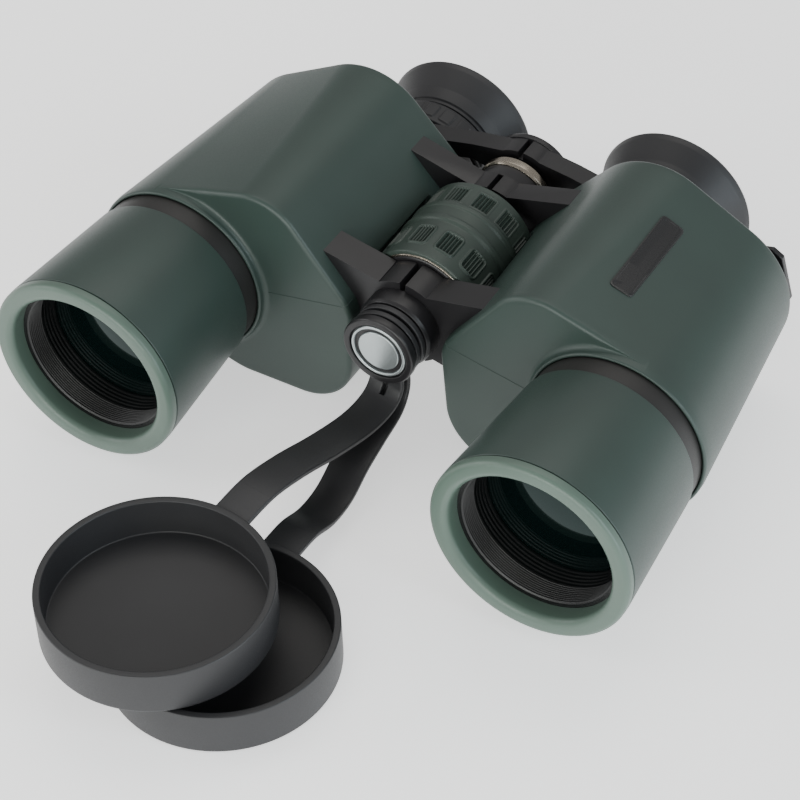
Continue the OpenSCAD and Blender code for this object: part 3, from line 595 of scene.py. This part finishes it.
# Focusing wheel: a rubber sleeve whose radius is worked out from the angle and the station
wheel = {"front": station(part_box("wheel_grip")[0].y), "rear": station(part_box("wheel_grip")[1].y), "inR": 14.45,
         "frontR": 15.6, "rearR": 15.75, "bandR": 0.62, "bands": (77.6, 83.1), "bandHalf": 0.9, "dip": 0.3,
         "pads": 12, "ribs": 5, "frontPad": (69.8, 2.7, 3.8), "rearPad": (88.0, 2.8, 3.2), "columns": 720,
         "rows": 150}


def boxDistance(a, b, halfA, halfB, corner):  # distance outside a rounded rectangle, less than 0 inside
    qa, qb = np.abs(a) - halfA + corner, np.abs(b) - halfB + corner
    return np.hypot(np.maximum(qa, 0), np.maximum(qb, 0)) + np.minimum(np.maximum(qa, qb), 0) - corner


def wheelRadius(angle, y):
    w = wheel
    base = w["frontR"] + (w["rearR"] - w["frontR"]) * (y - w["front"]) / (w["rear"] - w["front"])
    first, last = w["bands"]
    rail = sum(smooth(1.6 - np.abs(y - c) / w["bandHalf"]) * w["bandR"] for c in w["bands"])
    between = smooth((y - first) / 0.8) * smooth((last - y) / 0.8)
    r = base + np.maximum(rail, between * (w["bandR"] - w["dip"]))
    pitch = 2 * np.pi / w["pads"]

    def across(shift):  # distance round the wheel from the nearest pad's middle
        return (np.mod(angle / pitch + shift, 1) - 0.5) * pitch * base

    for (centre, halfA, halfB), shift, arched in ((w["frontPad"], 0.0, True), (w["rearPad"], 0.0, False)):
        a = across(shift)
        away = boxDistance(a, y - centre, halfA, halfB, 1.2 if arched else 0.3)
        ribs = 0.5 - 0.5 * np.cos(2 * np.pi * a * w["ribs"] / (2 * halfA - 0.6))
        inside = smooth(-(away + 0.3) / 0.2)
        frame = smooth(1.5 - np.abs(away + 0.05) / 0.3) * (0.42 if arched else 0.12)
        r = r + frame - inside * (0.7 - 0.75 * ribs)
    return r


def wheelGrid():
    w = wheel
    y = np.concatenate([[w["front"]], np.linspace(w["front"] + 0.25, w["rear"] - 0.25, w["rows"]), [w["rear"]]])
    angle = np.linspace(0, 2 * np.pi, w["columns"], endpoint=False)
    angles, ys = np.meshgrid(angle, y)
    r = wheelRadius(angles, ys)
    r[0], r[-1] = r[0] - 0.3, r[-1] - 0.3
    inner = np.full((2, w["columns"]), w["inR"])
    r = np.concatenate([r, inner])
    ys = np.concatenate([ys, np.full((1, w["columns"]), w["rear"]), np.full((1, w["columns"]), w["front"])])
    angles = np.concatenate([angles, angles[:2]])
    return np.stack([r * np.cos(angles), ys, hingeZ + r * np.sin(angles)], -1) * mm + [0, frontY, 0]


makePiece("wheelRubberSleeve", [(wheelGrid(), True, True)], "wheel_rubber", "focus_wheel", ["wheel_grip"], sharp=70)
ringFront, ringRear = wheel["front"] - 0.4, wheel["front"] + 0.3
hingePiece("wheelFrontRing", [(5.1, ringFront, 0), (13.4, ringFront, 0.2), (14.1, ringFront + 0.3, 0.3),
           (14.1, ringRear, 0), (5.1, ringRear, 0)], "wheel_metal", "focus_wheel", ["wheel_flange"])
hingePiece("wheelBrightLine", [(13.9, ringFront + 0.1, 0), (14.4, ringFront + 0.1, 0.15), (14.55, ringRear - 0.1, 0),
           (13.9, ringRear - 0.1, 0)], "wheel_metal", "focus_wheel", finish="ring_gunmetal")
print("wheel made")


# Sharp CAD pieces with their edges broken: a merged copy with flat faces joined, under a small bevel
def softened(node, width, name, sharp=35, segments=3):
    mesh = nodes[node].data.copy()
    work = bmesh.new()
    work.from_mesh(mesh)
    bmesh.ops.remove_doubles(work, verts=work.verts, dist=2e-6)
    bmesh.ops.dissolve_limit(work, angle_limit=0.008, verts=work.verts, edges=work.edges)
    work.to_mesh(mesh)
    work.free()
    piece = finishPiece(name, mesh, slotOf[node], nodes[node]["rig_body"], [node], sharp)
    bevel = piece.modifiers.new("brokenEdges", "BEVEL")
    bevel.width = width * mm
    bevel.segments = segments
    bevel.limit_method = "ANGLE"
    bevel.angle_limit = math.radians(sharp)
    bevel.harden_normals = True
    return piece


brokenEdges = {"front_lug": 0.35, "rear_lug": 0.35, "bridge_arm": 0.5, "strap_lug": 0.4}
for side in sides:
    for part, width in brokenEdges.items():
        words = part.split("_")
        softened(side + "_" + part, width, side + "".join(w.capitalize() for w in words))
print("arms and lugs made")

# Blank plate on the user's left housing: a rounded rectangle laid on the loft, with a fine raised border
badge = {"x": (52.3, 58.4), "y": (65.0, 95.0), "corner": 0.9, "sunk": 0.3, "proud": 0.4, "round": 0.15,
         "border": (0.35, 0.7, 0.07), "around": 96}


def armourTop(x, y):  # height of the housing above a point
    loop, normal = section(y)
    upper = loop[normal[:, 1] > 0.2]
    order = np.argsort(upper[:, 0])
    return np.interp(x, upper[order, 0], upper[order, 1])


def badgeRing(inset, lift):  # one closed row round the plate
    (x0, x1), (y0, y1) = badge["x"], badge["y"]
    r = badge["corner"]
    ring = rounded([(x0 + inset, y0 + inset, r), (x1 - inset, y0 + inset, r), (x1 - inset, y1 - inset, r),
                    (x0 + inset, y1 - inset, r)], 6)
    steps = np.linalg.norm(np.diff(ring, axis=0, append=ring[:1]), axis=1)
    along = np.concatenate([[0], np.cumsum(steps)])
    want = np.linspace(0, along[-1], badge["around"], endpoint=False)
    closed = np.concatenate([ring, ring[:1]])
    x, y = (np.interp(want, along, closed[:, k]) for k in (0, 1))
    z = np.array([float(armourTop(a, b)) for a, b in zip(x, y)])
    return np.stack([x, y, z + lift + axisZ], -1)


(inner, outer, rise), proud, soft = badge["border"], badge["proud"], badge["round"]
levels = [(0.0, -badge["sunk"]), (0.0, proud - soft), (0.3 * soft, proud - 0.3 * soft), (soft, proud),
          (inner, proud), (inner + 0.05, proud + rise), (outer, proud + rise), (outer + 0.05, proud)]
rows = [badgeRing(*level) for level in levels]
spine = np.stack([np.full(badge["around"], np.mean(badge["x"])), np.clip(rows[-1][:, 1], badge["y"][0] + 3,
                  badge["y"][1] - 3)], -1)
height = np.array([float(armourTop(a, b)) for a, b in spine]) + axisZ
rows.append(np.stack([spine[:, 0], spine[:, 1], height + proud], -1))
rows.append(np.stack([spine[:, 0], spine[:, 1], height - badge["sunk"]], -1))
makePiece("badgePlate", [(sided(np.array(rows), 1), True, True)], "badge_black", "left_half", ["badge_plate"], sharp=40)
print("badge made")

# Eyepieces: flared rubber cups, lens, and the ribbed diopter ring on the user's right
cup = {"frontR": 17.4, "rimR": 22.5, "wall": 1.8, "front": station(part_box("left_eyecup")[0].y),
       "rear": station(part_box("left_eyecup")[1].y)}


def cupProfile():
    c, length = cup, cup["rear"] - cup["front"]
    return rounded([(c["frontR"] - c["wall"], c["front"], 0.1), (c["frontR"] - 0.5, c["front"], 0.3),
                    (c["frontR"] - 0.5, c["front"] + 0.9, 0.2), (c["frontR"] + 0.1, c["front"] + 1.2, 0.3),
                    (c["frontR"] + 1.4, c["front"] + 0.36 * length, 3.0), (c["rimR"] - 0.5, c["rear"] - 2.4, 2.0),
                    (c["rimR"], c["rear"] - 1.0, 0.8), (c["rimR"] - 0.5, c["rear"], 0.7),
                    (c["rimR"] - 2.2, c["rear"], 0.7), (c["rimR"] - 3.0, c["rear"] - 1.4, 0.8),
                    (c["frontR"] + 1.2 - c["wall"], c["front"] + 0.36 * length, 2.0),
                    (c["frontR"] - c["wall"], c["front"] + 3.0, 0.4)], 6)


for side, sign in sides.items():
    body = "right_eyepiece" if side == "right" else "left_bridge"
    makePiece(side + "RubberCup", [(turned(cupProfile(), sign * eyeX, eyeZ, 200), True, True)], "black_rubber", body,
              [side + "_eyecup"])
    lensLow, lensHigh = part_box(side + "_eye_lens")
    y0, y1 = station(lensLow.y), station(lensHigh.y)
    r = (lensHigh.x - lensLow.x) / 2 / mm
    makePiece(side + "EyeLens", [(turned(lensProfile(r, y0 + 0.4, y1 - 1.6, 0.4, 1.6), sign * eyeX, eyeZ, 100),
              False, True)], "coated_glass", body, [side + "_eye_lens"])

diopter = {"front": station(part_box("diopter_ring")[0].y), "rear": station(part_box("diopter_ring")[1].y), "r": 17.95,
           "inR": 15.1, "blocks": 22, "raise": 0.42, "halfBlock": 1.75, "columns": 528, "rows": 44}


def diopterGrid():
    d = diopter
    y = np.linspace(d["front"], d["rear"], d["rows"])
    angle = np.linspace(0, 2 * np.pi, d["columns"], endpoint=False)
    angles, ys = np.meshgrid(angle, y)
    pitch = 2 * np.pi / d["blocks"]
    a = (np.mod(angles / pitch, 1) - 0.5) * pitch * d["r"]
    away = boxDistance(a, ys - (d["front"] + d["rear"]) / 2, d["halfBlock"], (d["rear"] - d["front"]) / 2 - 1.3, 0.5)
    ends = np.minimum(ys - d["front"], d["rear"] - ys)
    r = d["r"] + d["raise"] * smooth(-(away - 0.15) / 0.35) - 0.6 * (1 - np.sqrt(1 - (1 - np.clip(ends / 0.6, 0, 1)) ** 2))
    r = np.concatenate([r, np.full((2, d["columns"]), d["inR"])])
    ys = np.concatenate([ys, ys[-1:], ys[:1]])
    angles = np.concatenate([angles, angles[:2]])
    return np.stack([r * np.cos(angles) - eyeX, ys, eyeZ + r * np.sin(angles)], -1) * mm + [0, frontY, 0]


makePiece("diopterGrip", [(diopterGrid(), True, True)], "black_rubber", "diopter", ["diopter_ring"], sharp=60)
print("eyepieces made")

# Objective caps: soft cups that lie open side up
capShape = {"r": 29.3, "inR": 27.4, "height": 13.0, "floor": 2.0, "bottomRound": 1.1, "rimRound": 0.4,
            "floorRound": 0.4}


def capGrid(centre, lift):
    c = capShape
    profile = rounded([(0, 0, 0), (c["r"], 0, c["bottomRound"]), (c["r"], c["height"], c["rimRound"]),
                       (c["inR"], c["height"], c["rimRound"]), (c["inR"], c["floor"], c["floorRound"]),
                       (0, c["floor"], 0)], 6)
    angle = np.linspace(0, 2 * np.pi, 220, endpoint=False)[None, :]
    r, z = profile[:, :1] * mm, profile[:, 1:2] * mm
    return np.stack([centre.x + r * np.cos(angle), centre.y + r * np.sin(angle), lift + z + 0 * angle], -1)


for side in sides:
    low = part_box(side + "_cap")[0]
    makePiece(side + "RubberCap", [(capGrid(middle(side + "_cap"), low.z), True, True)], "black_rubber",
              side + "_objective_cap", [side + "_cap"])

# Cap straps: a ribbon with rounded edges carried along its side view, split by a slit below the hinge loop
strapShape = {"width": 10.4, "thick": 1.5, "edge": 0.45, "slit": 1.3, "slitEnd": 4.2, "loopR": 10.0, "seatR": 8.72,
              "loopLen": 1.6, "flex": 9.0, "tuck": 1.0}
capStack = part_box("right_cap")[0].z / mm
capTop = capStack + capShape["height"]
loopTop = hingeZ - strapShape["loopR"] + 1
straps = {
    "right": {"loopY": collar["front"] + 2.3, "yaw": -6.4, "reach": 91.9,
              "route": [(0, loopTop), (0.3, 20.6), (4.5, 17.2), (13, 16.6), (26, 19.4), (40, 23.6), (52, 25.9),
                        (62.6, capTop - 1.2)]},
    "left": {"loopY": collar["front"] + 4.9, "yaw": 2.2, "reach": 87.8,
             "route": [(0, loopTop), (0.2, 19.2), (4.6, 14.2), (14, 12.2), (23, 10.2), (32, 6.9), (41, 7.2),
                       (50, 10.6), (58.5, capShape["height"] - 1.2)]},
}


def smoothRoute(points, each=14):  # a curve through the points, each span blended from its four neighbours
    p = np.array(points, float)
    p = np.concatenate([p[:1], p, p[-1:]])
    t = np.linspace(0, 1, each, endpoint=False)[None, :, None]
    a, b, c, d = (p[k:len(p) - 3 + k, None] for k in range(4))
    curve = 0.5 * (2 * b + (c - a) * t + (2 * a - 5 * b + 4 * c - d) * t ** 2 + (3 * b - a - 3 * c + d) * t ** 3)
    tail = p[-1] + (p[-1] - curve[-1, -1]) / np.linalg.norm(p[-1] - curve[-1, -1]) * np.array([[0], [1.2]])
    return np.concatenate([curve.reshape(-1, 2), tail])


def ribbonGrid(curve, x0, x1, strap):
    s = strapShape
    half = s["thick"] / 2
    section = rounded([(x0, -half, s["edge"]), (x1, -half, s["edge"]), (x1, half, s["edge"]), (x0, half, s["edge"])], 4)
    along = np.gradient(curve, axis=0)
    along = along / np.linalg.norm(along, axis=1)[:, None]
    up = np.stack([-along[:, 1], along[:, 0]], -1)
    ahead = curve[:, None, 0] + up[:, None, 0] * section[None, :, 1]
    high = curve[:, None, 1] + up[:, None, 1] * section[None, :, 1]
    x = np.repeat(section[None, :, 0], len(curve), 0)
    grid = np.stack([x, -ahead, high], -1)
    ends = [np.repeat(grid[k].mean(0)[None, None], grid.shape[1], 1) for k in (0, -1)]
    grid = np.concatenate([ends[0], grid, ends[1]])
    yaw = math.radians(strap["yaw"])
    turn = np.array([[math.cos(yaw), math.sin(yaw), 0], [-math.sin(yaw), math.cos(yaw), 0], [0, 0, 1]])
    return (grid @ turn + [0, strap["loopY"] - 0.85, 0]) * mm + [0, frontY, 0]


def routePoint(strap, d, z):
    yaw = math.radians(strap["yaw"])
    return Vector((math.sin(yaw) * d, strap["loopY"] - 0.85 - math.cos(yaw) * d, z)) * mm + Vector((0, frontY, 0))


for side, strap in straps.items():
    s = strapShape
    curve = smoothRoute(strap["route"])
    run = np.concatenate([[0], np.cumsum(np.linalg.norm(np.diff(curve, axis=0), axis=1))])
    slitAt = int(np.searchsorted(run, s["slitEnd"] + 4.0))
    capFront = strap["reach"] - capShape["r"]
    flexAt = int(np.searchsorted(curve[:, 0], capFront - s["flex"]))
    half, gap = s["width"] / 2, s["slit"] / 2
    legs = [(ribbonGrid(curve[:slitAt + 1], -half, -gap, strap), False, True),
            (ribbonGrid(curve[:slitAt + 1], gap, half, strap), False, True)]
    ribbon = [(ribbonGrid(curve[slitAt:flexAt + 1], -half, half, strap), False, True)]
    y = strap["loopY"]
    loop = turned(rounded([(s["seatR"], y - s["loopLen"], 0.2), (s["loopR"], y - s["loopLen"], 0.3),
                           (s["loopR"], y, 0.3), (s["seatR"], y, 0.2)]), 0, hingeZ, 140)
    makePiece(side + "StrapRibbon", ribbon + legs + [(loop, True, True)], "black_rubber", side + "_strap",
              [side + "_cap_strap"], sharp=50)
    bend = [(ribbonGrid(curve[flexAt:], -half, half, strap), False, True)]
    makePiece(side + "StrapEnd", bend, "black_rubber", side + "_strap", sharp=50,
              blendWith=(side + "_objective_cap", routePoint(strap, *curve[flexAt]), routePoint(strap, *curve[-2])))
print("caps and straps made")

# Stage: pale floor, soft lights from above, and the camera
floorMesh = bpy.data.meshes.new("studioFloor")
floorMesh.from_pydata([(-4, -4, -0.0002), (4, -4, -0.0002), (4, 4, -0.0002), (-4, 4, -0.0002)], [], [(0, 1, 2, 3)])
floor = bpy.data.objects.new("studioFloor", floorMesh)
bpy.context.scene.collection.objects.link(floor)
floorMesh.materials.append(startFinish("paleFloor", (247, 247, 247), 0.9, **{
    "Emission Color": (1, 1, 1, 1), "Emission Strength": 0.85})[0])

world = bpy.data.worlds.new("studio")
bpy.context.scene.world = world
world.use_nodes = True
world.node_tree.nodes["Background"].inputs["Color"].default_value = (1, 1, 1, 1)
world.node_tree.nodes["Background"].inputs["Strength"].default_value = 0.5

lights = {
    "overhead": {"at": (-0.15, 0.35, 0.95), "size": (0.9, 0.6), "watts": 3.0, "shade": (255, 252, 246)},
    "front": {"at": (0.1, -1.0, 0.3), "size": (1.2, 0.35), "watts": 9.0, "shade": (252, 255, 250)},
    "leftFront": {"at": (-0.85, -0.45, 0.4), "size": (0.5, 0.5), "watts": 3.0, "shade": (255, 255, 255)},
    "rightSide": {"at": (0.95, -0.05, 0.35), "size": (0.4, 0.8), "watts": 6.0, "shade": (232, 246, 255)},
}
target = Vector((0.0, 0.0, 0.03))
for name, light in lights.items():
    data = bpy.data.lights.new(name, "AREA")
    data.shape = "RECTANGLE"
    data.size, data.size_y = light["size"]
    data.energy = light["watts"]
    data.color = paint(light["shade"])[:3]
    lamp = bpy.data.objects.new(name, data)
    lamp.location = light["at"]
    lamp.rotation_euler = (target - lamp.location).to_track_quat("-Z", "Y").to_euler()
    bpy.context.scene.collection.objects.link(lamp)

view = {"at": (0.27975, -0.43025, 0.51523), "azimuth": -31.83, "down": 44.09, "lean": 2.14, "lens": 124.9,
        "shift": (-0.01156, 0.01627)}
azimuth, down, lean = (math.radians(view[k]) for k in ("azimuth", "down", "lean"))
forward = Vector((math.sin(azimuth) * math.cos(down), math.cos(azimuth) * math.cos(down), -math.sin(down)))
level = forward.cross(Vector((0, 0, 1))).normalized()
upright = level.cross(forward)
right = level * math.cos(lean) - upright * math.sin(lean)
up = upright * math.cos(lean) + level * math.sin(lean)
cameraData = bpy.data.cameras.new("camera")
cameraData.lens = view["lens"]
cameraData.sensor_width = 36
cameraData.shift_x, cameraData.shift_y = view["shift"]
cameraData.clip_start, cameraData.clip_end = 0.01, 20
camera = bpy.data.objects.new("camera", cameraData)
camera.matrix_world = Matrix((right, up, -forward)).transposed().to_4x4()
camera.location = view["at"]
bpy.context.scene.collection.objects.link(camera)
bpy.context.scene.camera = camera
print("stage set")
